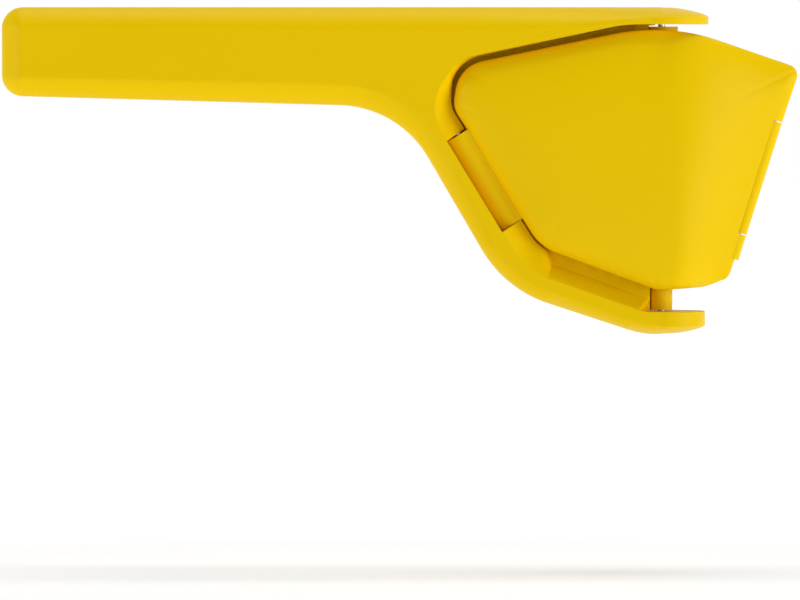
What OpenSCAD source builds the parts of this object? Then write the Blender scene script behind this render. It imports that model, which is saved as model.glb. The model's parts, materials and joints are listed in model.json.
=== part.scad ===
// Hinged citrus squeezer, folded shut. Two handles meet at an upright pivot. Each handle's
// C-shaped head carries a press plate on a slanted hinge, and the two plates are hinged to
// each other along their outer edge. All hinge lines meet at one point below the head.
// +X runs from the grip to the head, +Z is up, and -Y is the front.

/* [Grip] */
// Distance from the pivot axis to the far end of the grip
grip_reach = 207.3; // [190:0.5:230]
// Height of the grip at its end
grip_height = 27.8; // [24:0.2:32]
// Corner radius of the grip's end, seen from the front
grip_corner = 6.6; // [6.6:0.1:9]
// Rounding of the grip's long edges, across its thickness
grip_edge = 6.4; // [4:0.1:6.5]
// Thickness of the outer walls of a cored handle
wall = 2.8; // [2.2:0.1:3.4]
// Thickness of the cross ribs inside the grip
rib = 1.6; // [1.2:0.1:2.4]
// Distance between the cross ribs inside the grip
rib_pitch = 19; // [14:0.5:30]

/* [Head frame] */
// Height of the closed squeezer over both pivot arms
head_height = 102.8; // [102:0.1:104]
// Half the thickness of the two handles together
half_thickness = 14.5; // [13.5:0.1:16]
// Thickness of the upper pivot arm
upper_arm = 5.4; // [5:0.1:5.8]
// Thickness of the lower pivot arm
lower_arm = 7.2; // [6.5:0.1:7.5]
// Half the thickness of the web that stands behind the press plates
web_half = 5; // [4:0.1:5.2]
// How far the web reaches in behind a plate's edge
web_reach = 5; // [3.5:0.1:6]
// Gap between the two handles at the parting plane
parting = 0.5; // [0.3:0.1:0.8]
// Gap between the foot of the ledge and a press plate's edge
ledge_gap = 0.5; // [0.4:0.1:0.8]
// Depth of the ledge's foot, from the parting plane
ledge_half = 8.2; // [7.8:0.1:8.6]

/* [Press plates] */
// Depth of the crown of a plate, from the parting plane
plate_crown = 17.2; // [16:0.1:19]
// Depth of a plate's side wall, from the parting plane
plate_side = 11.6; // [10.5:0.1:12.5]
// Depth of a plate's pressing side, from the parting plane
press_plane = 5.5; // [5.5:0.1:6.5]
// Rounding of a plate's outer edge
plate_edge = 3; // [1.5:0.1:3.2]
// Thickness of a plate's outer walls
plate_wall = 2.6; // [2:0.1:3]
// Thickness of one juicing fin
fin = 1.8; // [1.4:0.1:2.4]
// Angle between neighbouring fins
fin_step = 4; // [3:0.25:6]
// Width of a drain slot in the lower edge of a plate
drain = 3; // [2:0.1:4]

/* [Hinges] */
// Radius of the round arm ends at the pivot
arm_end_r = 14.4; // [13:0.1:14.4]
// Radius of the rear handle's upper knuckle
upper_knuckle_r = 5.2; // [4.5:0.1:5.6]
// Radius of the rear handle's lower post
post_r = 3.5; // [3:0.1:3.6]
// Radius of every hinge pin
pin_r = 1.1; // [0.9:0.05:1.25]
// Radial running clearance of a pin in the part that turns on it
pin_play = 0.08; // [0.05:0.01:0.1]
// Radial clearance of the joint between the two plates, which takes up the linkage's error
joint_play = 0.4; // [0.35:0.05:0.5]
// Radius of the barrel on a plate's left edge
left_barrel_r = 4.4; // [4:0.05:4.6]
// Radius of the barrels on a plate's right edge
right_barrel_r = 2.8; // [2.7:0.05:3]
// End clearance between the knuckles of a hinge
knuckle_gap = 0.35; // [0.25:0.05:0.5]
// Length of the left barrel
left_barrel_l = 32.8; // [28:0.2:34]
// Length of the right middle barrel
right_barrel_l = 36.9; // [30:0.1:38]

/* [Hidden] */
yellow = [0.95, 0.76, 0.02];
steel = [0.72, 0.73, 0.75];
big = 300;
arc_steps = 7;      // points on a rounded corner of a handle's outline
edge_steps = 6;     // rings across a handle's rounded edge
back_rings = 3;     // rings from there back to the parting plane

// The head's shapes grow and shrink with its height: 1 is the height that they are drawn for
k_head = head_height / 102.8;

// Where things stand along X: everything is drawn about the pivot axis and then moved, so that
// the squeezer is centred on the origin.
plate_reach = 42.7 * k_head;
pivot_x = (grip_reach - plate_reach) / 2;

// Hinge lines, as tilts away from the pivot axis about the point where they all meet
apex_z = -44.2 * k_head;
left_tilt = 31.07;
left_turn = 6.71;    // how far a left hinge lies off the parting plane, about the pivot axis
right_tilt = 17.6;
left_mid = 108.1 * k_head;    // distance from the apex to the middle of the left barrel
right_mid = 98.3 * k_head;    // distance from the apex to the middle of the right middle barrel
left_notch_l = left_barrel_l + 2 * knuckle_gap;

// Corners of a press plate, seen from the front: [x from the pivot, z, corner radius]
plate_corners = k_head * [[-65.7, 71.5, 8], [-63.7, 84.4, 6], [1.7, 97.9, 63], [43.67, 83.5, 3.5],
                          [20.3, 15.3, 7], [-1.4, 13.9, 12], [-38.3, 27.6, 16]];

arm_under = head_height - upper_arm;          // underside of the upper arm
running = 0.5;                                // gap above and below the knuckles
knuckle_top = arm_under - 0.7;
upper_knuckle_h = 5.2;
post_bottom = lower_arm + 0.3;
post_h = 11;
arm_cut_r = arm_end_r + 0.6;                  // hollow end of a rear arm round the arm ends
web_end = -3.7;                               // where the frame's inner wall ends, from the pivot

// Rounds the corner of an outline at b, between a and c. Each point is
// [x, z, outward x, outward z, in-plane rounding, depth of the rounding].
function bend(a, b, c, r, e, f) =
  let (u = (a - b) / norm(a - b), v = (c - b) / norm(c - b),
       half = acos(max(-1, min(1, u * v))) / 2,
       m = (u + v) / norm(u + v), centre = b + m * r / sin(half),
       turn = u[0] * v[1] - u[1] * v[0], side = turn > 0 ? -1 : 1,
       start = b + u * r / tan(half) - centre, sweep = (180 - 2 * half) * side)
  [for (i = [0:arc_steps])
    let (t = sweep * i / arc_steps,
         d = [start[0] * cos(t) - start[1] * sin(t), start[0] * sin(t) + start[1] * cos(t)],
         n = side * d / r)
    [centre[0] + d[0], centre[1] + d[1], n[0], n[1], e, f]];

// An outline's corners as points, where ends of an open path stay sharp
function path(c) =
  [for (i = [0:len(c) - 1])
    each i == 0 || i == len(c) - 1 || c[i][2] == 0
      ? [[c[i][0], c[i][1], 0, i < len(c) / 2 ? 1 : -1, c[i][3], c[i][4]]]
      : bend(xy(c[i - 1]), xy(c[i]), xy(c[i + 1]), c[i][2], c[i][3], c[i][4])];

// A closed outline's corners as points
function loop(c) =
  [for (i = [0:len(c) - 1])
    each bend(xy(c[(i + len(c) - 1) % len(c)]), xy(c[i]), xy(c[(i + 1) % len(c)]), c[i][2], 0, 0)];

function xy(p) = [p[0], p[1]];

// Moves each side of a convex clockwise outline outwards by d
function grow(c, d) =
  [for (i = [0:len(c) - 1])
    let (p = xy(c[(i + len(c) - 1) % len(c)]), q = xy(c[i]), s = xy(c[(i + 1) % len(c)]),
         u = (q - p) / norm(q - p), v = (s - q) / norm(s - q),
         k = d / (1 + u * v))
    [q[0] + k * (-u[1] - v[1]), q[1] + k * (u[0] + v[0]), max(c[i][2] + d, 1)]];

// Height of a line through a and b at x
function line_z(a, b, x) = a[1] + (b[1] - a[1]) * (x - a[0]) / (b[0] - a[0]);

// Joins rings of equal length into a closed solid with flat ends, which the triangles in cap
// fill. Seen from the first ring's side, the rings and those triangles run anticlockwise.
module skin(rings, cap) {
  n = len(rings[0]);
  m = len(rings);
  polyhedron(
    points = [for (r = rings) each r],
    faces = concat(
      [for (t = cap) [t[2], t[1], t[0]]],
      [for (k = [0:m - 2]) for (i = [0:n - 1])
        each [[k * n + i, (k + 1) * n + (i + 1) % n, (k + 1) * n + i],
              [k * n + i, k * n + (i + 1) % n, (k + 1) * n + (i + 1) % n]]],
      [for (t = cap) [(m - 1) * n + t[0], (m - 1) * n + t[1], (m - 1) * n + t[2]]]));
}

// Triangles that fill a ring of n points about its first one, for a ring with no hollow side
function fan(n) = [for (i = [1:n - 2]) [0, i, i + 1]];

// How far along the frame each point of a path lies, from its corners' own places
function along(c, places, back) =
  [for (i = [0:len(c) - 1])
    each i == 0 || i == len(c) - 1 || c[i][2] == 0
      ? [places[i]]
      : [for (j = [0:arc_steps]) places[i] + 0.1 * (back ? 1 - j / arc_steps : j / arc_steps)]];

// Triangles between an outer edge and an inner edge that run side by side. The inner edge's
// points come last and run the other way.
function strip(outer, inner) =
  let (no = len(outer), ni = len(inner), last = no + ni - 1,
       back = [for (i = [ni - 1:-1:0]) inner[i]])
  concat(
    [for (j = [0:no - 2])
      [j, j + 1, last - (len([for (b = back) if (b <= outer[j + 1]) 1]) - 1)]],
    [for (i = [0:ni - 2])
      [len([for (a = outer) if (a < back[i + 1]) 1]) - 1, last - i - 1, last - i]]);

// Stands its children on a hinge line: their Z runs up the line, from the apex
module on_line(tilt, turn) {
  translate([0, 0, apex_z]) rotate([0, tilt, turn]) children();
}

module on_left_line() { on_line(left_tilt, 180 + left_turn) children(); }
module on_right_line() { on_line(right_tilt, 0) children(); }

// A round bar on a hinge line between two distances from the apex
module bar(r, from, to) {
  translate([0, 0, from]) cylinder(r = r, h = to - from, $fn = 64);
}

// Extrudes an outline drawn in X and Z from the depth y0 back to y1
module slab(y0, y1) {
  translate([0, y1, 0]) rotate([90, 0, 0]) linear_extrude(y1 - y0) children();
}

// Where the grip's lower side turns down into the head
crook = [-82.8, 71.5] * k_head;

// The frame's outer edge, from the upper arm round the grip to the lower arm
frame_edge = [
  [0, head_height, 0, 3, 12],
  [-30, head_height, 0, 6, grip_edge],
  [-grip_reach, head_height, grip_corner, grip_edge, grip_edge],
  [-grip_reach, head_height - grip_height, grip_corner, grip_edge, grip_edge],
  [crook[0], crook[1], 33, 7, grip_edge],
  [-49.4 * k_head, 14.3 * k_head, 38, 4.5, 6],
  [-6.4, 0, 30, 2.6, 9],
  [0, 0, 0, 2.6, 12]];

// The frame's inner edge on its front face, which stands off the plate's corners
front_edge = [
  [0, lower_arm, 0, 0, 0],
  [-5.8, lower_arm, 12, 0, 0],
  [plate_corners[6][0] - 4.2, plate_corners[6][1] - 7.5, 21, 0, 0],
  [plate_corners[0][0] - 8.4, plate_corners[0][1] + 0.3, 14, 0, 0],
  [plate_corners[1][0] + 0.9, plate_corners[1][1] + 2.1, 8, 0, 0],
  [-12, arm_under, 40, 0, 0],
  [0, arm_under, 0, 0, 0]];

// The foot of the ledge, just outside the plate's edge at the left and below
tucked = grow(plate_corners, ledge_gap);
ledge_edge = [
  [0, line_z(tucked[5], tucked[4], 0), 0, 0, 0],
  [tucked[5][0], tucked[5][1], 4, 0, 0],
  [tucked[6][0], tucked[6][1], 14, 0, 0],
  [tucked[0][0], tucked[0][1], 8, 0, 0],
  [plate_corners[1][0] - 2.2, plate_corners[1][1] + 1.3, 6, 0, 0],
  [-12, arm_under, 40, 0, 0],
  [0, arm_under, 0, 0, 0]];

// The inner edge of the web, well behind the plate
inset = grow(plate_corners, -web_reach);
web_top_z = line_z(inset[1], inset[2], -12);
web_edge = [
  [0, line_z(inset[5], inset[4], 0), 0, 0, 0],
  [inset[5][0], inset[5][1], 3, 0, 0],
  [inset[6][0], inset[6][1], 11, 0, 0],
  [inset[0][0], inset[0][1], 3, 0, 0],
  [inset[1][0], inset[1][1], 2, 0, 0],
  [-12, web_top_z, 20, 0, 0],
  [0, web_top_z, 0, 0, 0]];

// One ring of the frame: k counts from the front face back to the parting plane
function frame_ring(k) =
  let (out = path(frame_edge), a = path(front_edge), b = path(ledge_edge), w = path(web_edge),
       last = edge_steps, t = min(k, last) * 90 / last, u = min(k, last) / last,
       past = max(0, k - last))
  concat(
    [for (p = out)
      let (side = half_thickness - p[5] * (1 - cos(t)), d = p[4] * (1 - sin(t)),
           y = side + (parting / 2 - side) * past / back_rings)
      [p[0] - p[2] * d, -y, p[1] - p[3] * d]],
    [for (i = [0:len(a) - 1])
      let (q = past > 1 ? w[i] : a[i] * (1 - u) + b[i] * u,
           y = past == back_rings ? parting / 2
             : past > 0 ? web_half : half_thickness * (1 - u) + ledge_half * u)
      [q[0], -y, q[1]]]);

// Places along the frame of each corner of its edges, so that facing corners are joined
frame_places = [0, 1, 2, 3, 4, 5, 6, 7];
inner_places = [7, 6, 5, 4, 2.5, 1, 0];

// The solid front half of the frame and grip, up to the pivot axis
module frame_blank() {
  difference() {
    skin([for (k = [0:edge_steps + back_rings]) frame_ring(k)],
         strip(along(frame_edge, frame_places, false), along(front_edge, inner_places, true)));
    translate([web_end, -half_thickness - 1, lower_arm])
      cube([big, half_thickness + 2, arm_under - lower_arm]);
  }
}

// The hollow in the parting side of the grip, inset by d, that leaves t of skin at the front
module grip_core(d, t) {
  right = crook[0] - 5.2;
  far = -grip_reach + d;
  top = head_height - d;
  low = head_height - grip_height + d;
  slab(-half_thickness + t, 0)
    polygon([[far, top], [far, low], [right + 4, line_z([far, low], crook + [0, d], right)],
             [right - 6, top]]);
}

module grip_hollow() {
  difference() {
    union() {
      grip_core(wall, grip_edge * 0.8);
      grip_core(wall + 2.8, wall);
    }
    for (x = [-grip_reach + rib_pitch : rib_pitch : crook[0] - 12])
      translate([x, -half_thickness, 0]) cube([rib, half_thickness, big]);
  }
}

// The notch for a plate's left barrel, open to the front
module left_notch() {
  r = left_barrel_r + knuckle_gap;
  from = left_mid - left_notch_l / 2;
  on_left_line() {
    bar(r, from, from + left_notch_l);
    translate([-6, 0, from]) cube([6 + r, half_thickness * 2, left_notch_l]);
    translate([-12, -1, from]) cube([12, half_thickness * 2, left_notch_l]);
  }
}

pin_grip = 5;          // how far a hinge pin goes into the material at each end
left_pin_from = left_mid - left_notch_l / 2 - pin_grip;
left_pin_to = left_mid + left_notch_l / 2 + pin_grip;

// One round arm end of the front handle, as a turned shape
module upper_arm_end() {
  a = arm_end_r - 2;
  rotate_extrude($fn = 96)
    polygon(concat([[0, arm_under], [0, head_height - 0.1]],
                   [for (t = [0:15:90]) [2 + a * sin(t), head_height - 3.1 + 3 * cos(t)]],
                   [[arm_end_r, arm_under]]));
}

module lower_arm_end() {
  rotate_extrude($fn = 96)
    polygon([[0, lower_arm], [0, 0], [3, 0.1], [arm_end_r - 1, 2.4], [arm_end_r - 0.2, 3],
             [arm_end_r, 3.8], [arm_end_r, lower_arm]]);
}

top_pin_from = knuckle_top - upper_knuckle_h + 1;
top_pin_to = head_height - 1.8;
bottom_pin_from = 1.2;
bottom_pin_to = post_bottom + post_h - 2;

module front_handle() {
  color(yellow) translate([pivot_x, 0, 0]) difference() {
    union() {
      frame_blank();
      upper_arm_end();
      lower_arm_end();
    }
    grip_hollow();
    left_notch();
    on_left_line() bar(pin_r, left_pin_from, left_pin_to);
    bar(pin_r, bottom_pin_from, bottom_pin_to);
    bar(pin_r, top_pin_from, top_pin_to);
    bar(upper_knuckle_r + running, knuckle_top - upper_knuckle_h - running, arm_under);
    bar(post_r + running, lower_arm, post_bottom + post_h + running);
  }
}

module rear_handle() {
  color(yellow) translate([pivot_x, 0, 0]) difference() {
    union() {
      mirror([0, 1, 0]) difference() {
        frame_blank();
        grip_hollow();
        left_notch();
        on_left_line() bar(pin_r, left_pin_from, left_pin_to);
        bar(arm_cut_r, knuckle_top, big);
        bar(arm_cut_r, -1, post_bottom);
      }
      rear_knuckle(upper_knuckle_r, web_half, knuckle_top - upper_knuckle_h, upper_knuckle_h);
      rear_knuckle(post_r, post_r - 0.1, post_bottom, post_h);
    }
    bar(pin_r + pin_play, bottom_pin_from, bottom_pin_to);
    bar(pin_r + pin_play, top_pin_from, top_pin_to);
  }
}

// A knuckle of the rear handle on the pivot axis, with the neck that joins it to the web
module rear_knuckle(r, depth, from, h) {
  bar(r, from, from + h);
  translate([web_end - 4, parting / 2, from]) cube([4 - web_end, depth - parting / 2, h]);
}

// Depth of a plate's side wall at x: it falls away towards the joint of the two plates
taper_from = 4 * k_head;
taper_to = 38 * k_head;
thin_side = 1.4;
function side_depth(x) =
  let (t = max(0, min(1, (x - taper_from) / (taper_to - taper_from))))
  plate_side + (thin_side - plate_side) * t * t * (3 - 2 * t);

// The point of a plate that all its crown rings shrink towards
crown_centre = [-14, 56] * k_head;
crown_rings = 6;
crown_evenness = 4;    // how closely the crown keeps to the nearest side: higher is closer
plate_rings = 4 + crown_rings - 1;
crown_foot = grow(plate_corners, -plate_edge);
crown_rise = plate_crown - plate_side - plate_edge;

// How far p lies from side i of the crown's foot, as a share of the crown centre's own distance
function side_share(p, i) =
  let (a = xy(crown_foot[i]), b = xy(crown_foot[(i + 1) % len(crown_foot)]), u = (b - a) / norm(b - a))
  ((p[1] - a[1]) * u[0] - (p[0] - a[0]) * u[1])
    / ((crown_centre[1] - a[1]) * u[0] - (crown_centre[0] - a[0]) * u[1]);

// A smooth measure that grows from 0 at the crown's foot to 1 at its centre
function crown_share(p) =
  let (sides = len(crown_foot),
       sum = [for (i = [0:sides - 1]) 1 / pow(max(side_share(p, i), 0.01), crown_evenness)]
             * [for (i = [1:sides]) 1 / sides])
  1 / pow(sum, 1 / crown_evenness);
plate_gap = 0.8;       // gap between the two plates at their joint

// One ring of a plate: 0 is its pressing side, 1 to 4 round its edge, and the rest its crown.
// The outline runs clockwise, so its outward arrows point in.
function plate_ring(k) =
  [for (p = loop(plate_corners))
    let (t = min(max(k - 1, 0), 3) * 30, f = max(k - 4, 0) / crown_rings,
         in = plate_edge * (1 - cos(t)), q = [p[0] + p[2] * in, p[1] + p[3] * in],
         r = q + (crown_centre - q) * f, e = side_depth(r[0]) + plate_edge * sin(t),
         h = k > 4 ? 1 - pow(1 - crown_share(r), 2) : 0)
    [r[0], k == 0 ? -plate_gap / 2 : -e - crown_rise * h, r[1]]];

// What is cut off behind the pressing side: a flat floor that slopes to the joint at the right
floor_to = 10 * k_head;
slope_to = 24 * k_head;
module pressing_side() {
  translate([0, 0, -1]) linear_extrude(big)
    polygon([[-big, 1], [-big, -press_plane], [floor_to, -press_plane],
             [slope_to, -plate_gap / 2], [slope_to, 1]]);
}

// A plate's outline, grown by d, as a flat shape
module plate_shape(d) {
  polygon([for (p = loop(grow(plate_corners, d))) xy(p)]);
}

// Fins and the drain slots between them, by their lean from the pivot axis
fin_first = -28;
fin_last = 2;
drain_depth = 3.5;
drain_from = 50 * k_head;       // a drain slot's ends, from the hinge lines' meeting point
drain_to = 78 * k_head;

cavity_right = taper_from - 1;
cavity_back = plate_side + 1.9;

module plate_cavity(d) {
  intersection() {
    slab(-cavity_back, -press_plane + 1) plate_shape(-d);
    translate([cavity_right - big, -half_thickness, 0]) cube([big, half_thickness, big]);
  }
}

// Upright fins that fan out from the hinge lines' meeting point
module fins() {
  intersection() {
    slab(-cavity_back - 0.6, -press_plane) plate_shape(-plate_wall + 0.6);
    for (a = [fin_first : fin_step : fin_last])
      on_line(a, 0) translate([-fin / 2, -half_thickness, 0]) cube([fin, half_thickness, big]);
    translate([cavity_right + 0.6 - big, -half_thickness, 0]) cube([big, half_thickness, big]);
  }
}

// Slots that let juice out through the lower wall, between the fins
module drains() {
  for (a = [fin_first + fin_step / 2 : fin_step : fin_last])
    on_line(a, 0) translate([-drain / 2, -press_plane - drain_depth, drain_from])
      cube([drain, drain_depth + 0.5, drain_to - drain_from]);
}

right_from = right_mid - right_barrel_l / 2;
right_to = right_mid + right_barrel_l / 2;
right_low = 71.5 * k_head;      // lower end of the right edge's barrels
right_high = 128.5 * k_head;    // upper end
cut_r = right_barrel_r + knuckle_gap;

// The body of a plate, before its barrels go on
module plate_body() {
  difference() {
    union() {
      difference() {
        skin([for (k = [0:plate_rings]) plate_ring(k)],
             fan(len(loop(plate_corners))));
        pressing_side();
        plate_cavity(plate_wall);
      }
      fins();
      left_barrel();
    }
    drains();
    on_left_line() bar(pin_r + pin_play, left_pin_from, left_pin_to);
  }
}

module left_barrel() {
  from = left_mid - left_barrel_l / 2;
  on_left_line() {
    bar(left_barrel_r, from, from + left_barrel_l);
    translate([-6, 0.2, from]) cube([6, left_barrel_r - 0.2, left_barrel_l]);
  }
}

// Room on a plate for the other plate's barrels, from one distance to another
module right_room(from, to) {
  on_right_line() {
    bar(cut_r, from, to);
    translate([0, -half_thickness, from]) cube([big, 2 * half_thickness, to - from]);
  }
}

module front_press_plate() {
  color(yellow) translate([pivot_x, 0, 0]) difference() {
    union() {
      difference() {
        plate_body();
        right_room(right_from - knuckle_gap, right_to + knuckle_gap);
      }
      on_right_line() {
        bar(right_barrel_r, right_low, right_from - knuckle_gap);
        bar(right_barrel_r, right_to + knuckle_gap, right_high);
      }
    }
    on_right_line() bar(pin_r, joint_pin_from, joint_pin_to);
  }
}

module rear_press_plate() {
  color(yellow) translate([pivot_x, 0, 0]) difference() {
    union() {
      difference() {
        mirror([0, 1, 0]) plate_body();
        right_room(0, right_from);
        right_room(right_to, big);
      }
      on_right_line() bar(right_barrel_r, right_from, right_to);
    }
    on_right_line() bar(pin_r + joint_play, right_from - 1, right_to + 1);
  }
}

joint_pin_from = right_low + 2.5;
joint_pin_to = right_high - 2.5;

module top_pivot_pin() {
  color(steel) translate([pivot_x, 0, 0]) bar(pin_r, top_pin_from, top_pin_to);
}
module bottom_pivot_pin() {
  color(steel) translate([pivot_x, 0, 0]) bar(pin_r, bottom_pin_from, bottom_pin_to);
}
module front_plate_pin() {
  color(steel) translate([pivot_x, 0, 0])
    on_left_line() bar(pin_r, left_pin_from, left_pin_to);
}
module rear_plate_pin() {
  mirror([0, 1, 0]) front_plate_pin();
}
module plate_joint_pin() {
  color(steel) translate([pivot_x, 0, 0]) on_right_line() bar(pin_r, joint_pin_from, joint_pin_to);
}

front_handle();
rear_handle();
front_press_plate();
rear_press_plate();
top_pivot_pin();
bottom_pivot_pin();
front_plate_pin();
rear_plate_pin();
plate_joint_pin();
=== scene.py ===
"""A folding citrus squeezer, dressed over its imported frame: smooth moulded handles and press
plates, drawn steel pins, soft studio light. Shapes are drawn in millimetres about the pivot axis
and set in place, in metres, when a piece is finished."""

import json
import math

import bmesh
import bpy
from bpy.props import FloatProperty, FloatVectorProperty, PointerProperty
from mathutils import Matrix, Vector


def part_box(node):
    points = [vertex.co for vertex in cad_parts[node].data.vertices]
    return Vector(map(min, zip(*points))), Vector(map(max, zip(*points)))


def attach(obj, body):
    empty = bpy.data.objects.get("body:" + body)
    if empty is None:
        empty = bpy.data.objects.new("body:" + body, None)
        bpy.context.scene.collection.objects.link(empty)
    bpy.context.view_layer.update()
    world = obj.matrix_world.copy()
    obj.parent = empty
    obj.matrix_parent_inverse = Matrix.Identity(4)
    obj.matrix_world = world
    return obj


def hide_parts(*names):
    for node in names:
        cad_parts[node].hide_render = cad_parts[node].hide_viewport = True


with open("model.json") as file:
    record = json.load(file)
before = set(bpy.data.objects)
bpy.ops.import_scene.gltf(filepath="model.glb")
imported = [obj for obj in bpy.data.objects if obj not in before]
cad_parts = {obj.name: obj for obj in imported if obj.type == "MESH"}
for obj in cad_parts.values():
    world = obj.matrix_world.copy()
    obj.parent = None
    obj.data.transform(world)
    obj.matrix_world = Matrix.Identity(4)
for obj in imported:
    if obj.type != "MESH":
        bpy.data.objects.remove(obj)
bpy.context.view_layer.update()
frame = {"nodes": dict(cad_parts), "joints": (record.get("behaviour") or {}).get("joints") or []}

bl_info = {
    "name": "Folding citrus squeezer",
    "version": (1, 0, 0),
    "blender": (4, 5, 0),
    "location": "View3D > Sidebar > Squeezer",
    "description": "Builds the moulded handles, press plates, pins and studio of a citrus squeezer",
    "category": "Object",
}

MM = 0.001
HANDLE_LOW, HANDLE_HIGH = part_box("front_handle")
PLATE_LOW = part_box("front_press_plate")[0]
JOINTS = {joint["name"]: joint for joint in frame["joints"]}
PIVOT_X = JOINTS["squeeze"]["pos_m"][0] / MM

# Frame and handles: x is measured from the pivot axis, z from the squeezer's foot
HEAD_TOP = HANDLE_HIGH.z / MM
GRIP_END = HANDLE_LOW.x / MM - PIVOT_X
GRIP_HEIGHT = 27.8
GRIP_CORNER = 6.6
UPPER_ARM = 5.4
LOWER_ARM = 7.2
ARM_UNDER = HEAD_TOP - UPPER_ARM
ARM_BEND_X = -12.0
NECK_X = -82.8
WEB_HALF = 5.0
WEB_REACH = 5.0
PARTING = 0.5
LEDGE_GAP = 0.55
LEDGE_HALF = 8.4
GAP_WEB_HALF = 1.0
LOW_LEDGE = 0.05
STEEP_SHARE = 0.12
WEB_END = -3.7
TOP_WEB_END = -2.2
SLIT = 2.0
WALL = 2.8
RIB = 1.6
RIB_PITCH = 19.0
HOLLOW_RIGHT = -88.0
LAST_RIB = -95.0

# Press plates: each corner is (x, z, radius), clockwise from the foot of the left edge
PLATE_CORNERS = [
    (-65.7, 71.5, 8.0),
    (-63.7, 84.4, 11.0),
    (1.7, 97.9, 63.0),
    (43.67, 83.5, 3.5),
    (20.3, 15.3, 7.0),
    (-1.4, 13.9, 12.0),
    (-38.3, 27.6, 16.0),
]
PLATE_WALL = 2.6
PLATE_GAP = 0.8
PRESS_PLANE = 5.5
CROWN_CENTRE = Vector((-14.0, 56.0))
CROWN_EVENNESS = 3.0
TAPER_FROM = 4.0
THIN_SIDE = 1.4
THIN_EDGE = 0.5
EDGE_WIDTH = 4.5
FIN = 1.8
FIN_STEP = 4
FIN_FIRST = -28
FIN_LAST = 2
FIN_DEPTH = 2.8
FIN_REACH = 150.0
DRAIN = 3.0
DRAIN_DEPTH = 3.5
DRAIN_FROM = 50.0
DRAIN_TO = 78.0
CAVITY_RIGHT = 3.0
CAVITY_DEPTH = 2.6
CAVITY_STEP = 3.0

# Hinges: each line leans away from the pivot axis about the point where they all meet
APEX_Z = -44.2
LEFT_TILT = 31.07
LEFT_TURN = 6.71
RIGHT_TILT = 17.6
LEFT_MID = 108.1
RIGHT_MID = 98.3
RIGHT_LOW = 71.5
RIGHT_HIGH = 128.5
LEFT_BARREL_L = 32.8
RIGHT_BARREL_L = 36.9
LEFT_BARREL_R = 4.4
NOTCH_SHIFT = 0.65
BARREL_SHIFT = 0.45
RIGHT_BARREL_R = 2.8
VALLEY_FROM = 1.7
VALLEY_SINK = 0.35
ROOT_TO = 6.5
KNUCKLE_GAP = 0.35
UPPER_END_R = 14.8
LOWER_END_R = 13.8
ARM_CUT_R = 15.3
BRIM_DROP = 3.0
LOWER_BRIM_DROP = 2.6
LIP = 0.3
UPPER_KNUCKLE_R = 5.2
UPPER_KNUCKLE_H = 5.2
KNUCKLE_TOP = ARM_UNDER - 0.7
KNUCKLE_LOW = KNUCKLE_TOP - UPPER_KNUCKLE_H
POST_R = 3.5
POST_H = 11.0
POST_BOTTOM = LOWER_ARM + 0.3
POST_TOP = POST_BOTTOM + POST_H
RUNNING = 0.5
PIN_R = 1.1
PIN_PLAY = 0.08
BORE_R = PIN_R + PIN_PLAY
PIN_GRIP = 5.0
JOINT_PLAY = 0.4

ARC_POINTS = 20
EDGE_RINGS = 12
RIM_LEAN = 0.5
RIM_BEND = 1.35
BRIM_STEPS = 24
CROWN_RINGS = 30
PLATE_SPACING = 1.6
SHARP_ABOVE = 35.0
BIG = 300.0

# Plastic and steel
MOTTLE = 0.975
MOTTLE_ROUGHNESS = 0.08
GRAIN_STRENGTH = 0.12
GRAIN_DEPTH = 0.00003
PLASTIC_IOR = 1.5
PLASTIC_SPECULAR = 0.07
STEEL_ROUGHNESS = (0.22, 0.42)

# Studio, in metres: each lamp is (name, place, width, height, watts)
LAMPS = [
    ("right", (1.36, -0.58, 0.1), 0.8, 0.8, 11.9),
    ("left", (-1.3, -0.62, 0.3), 0.8, 0.8, 5.1),
    ("top", (0.0, 0.08, 1.1), 0.9, 0.6, 6.4),
]
LAMP_AIM = (0, 0, 0.05)
FLOOR_SIZE = 6.0
WORLD_LIGHT = 0.12
# Share of the floor's glow that reaches the squeezer as painted light from below
FLOOR_LIGHT = 0.69
NEAR_GLOW = 0.47
NEAR_REACH = 0.15
FAR_REACH = 0.6
SENSOR_MM = 36.0


# ---------------------------------------------------------------- settings


class SqueezerSizes(bpy.types.PropertyGroup):
    half_thickness: FloatProperty(
        name="Half thickness",
        description="Half the thickness of the two handles together",
        default=-HANDLE_LOW.y,
        unit="LENGTH",
    )
    grip_edge: FloatProperty(
        name="Grip edge",
        description="Rounding of the grip's long edges",
        default=0.0064,
        unit="LENGTH",
    )
    plate_side: FloatProperty(
        name="Plate side",
        description="Depth of a plate's side wall from the parting plane",
        default=0.0096,
        unit="LENGTH",
    )
    plate_edge: FloatProperty(
        name="Plate edge",
        description="Depth of the rounding round a plate's outer edge",
        default=0.0026,
        unit="LENGTH",
    )
    plate_crown: FloatProperty(
        name="Plate crown",
        description="Depth of a plate's crown from the parting plane",
        default=-PLATE_LOW.y,
        unit="LENGTH",
    )


class SqueezerFinish(bpy.types.PropertyGroup):
    yellow: FloatVectorProperty(
        name="Yellow",
        description="Colour of the moulded plastic",
        subtype="COLOR",
        size=3,
        default=(1.0, 0.665, 0.0),
        min=0.0,
        max=1.0,
    )
    plastic_roughness: FloatProperty(
        name="Plastic roughness",
        description="Mean roughness of the moulded plastic",
        default=0.33,
        min=0.0,
        max=1.0,
    )
    steel: FloatVectorProperty(
        name="Steel",
        description="Colour of the drawn steel pins",
        subtype="COLOR",
        size=3,
        default=(0.62, 0.63, 0.65),
        min=0.0,
        max=1.0,
    )


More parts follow.
